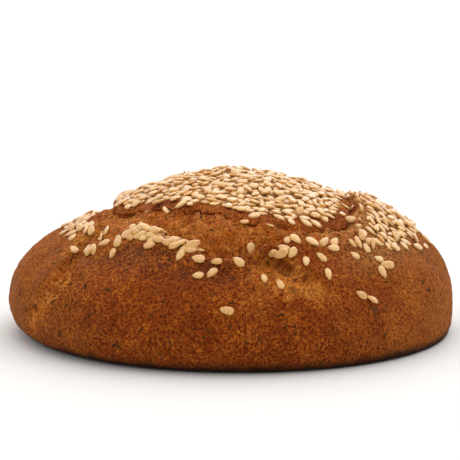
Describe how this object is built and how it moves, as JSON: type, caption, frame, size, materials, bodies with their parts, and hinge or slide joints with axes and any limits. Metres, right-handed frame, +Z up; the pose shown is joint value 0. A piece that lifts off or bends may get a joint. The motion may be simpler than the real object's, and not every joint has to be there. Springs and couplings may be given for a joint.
{
  "type": "burger bun",
  "caption": "Whole round wholemeal burger bun with a scored, torn top crust and a layer of sesame seeds, resting on its flat underside.",
  "frame": {"origin": "on the flat underside, straight below the middle of the dome", "axes": "+Z up out of the top crust, +X to the right and -Y towards the viewer of the picture"},
  "size_m": [0.1151, 0.115, 0.0409],
  "materials": {
    "crust": "baked"
  },
  "bodies": {
    "root": {"bun": "crust"}
  },
  "joints": []
}
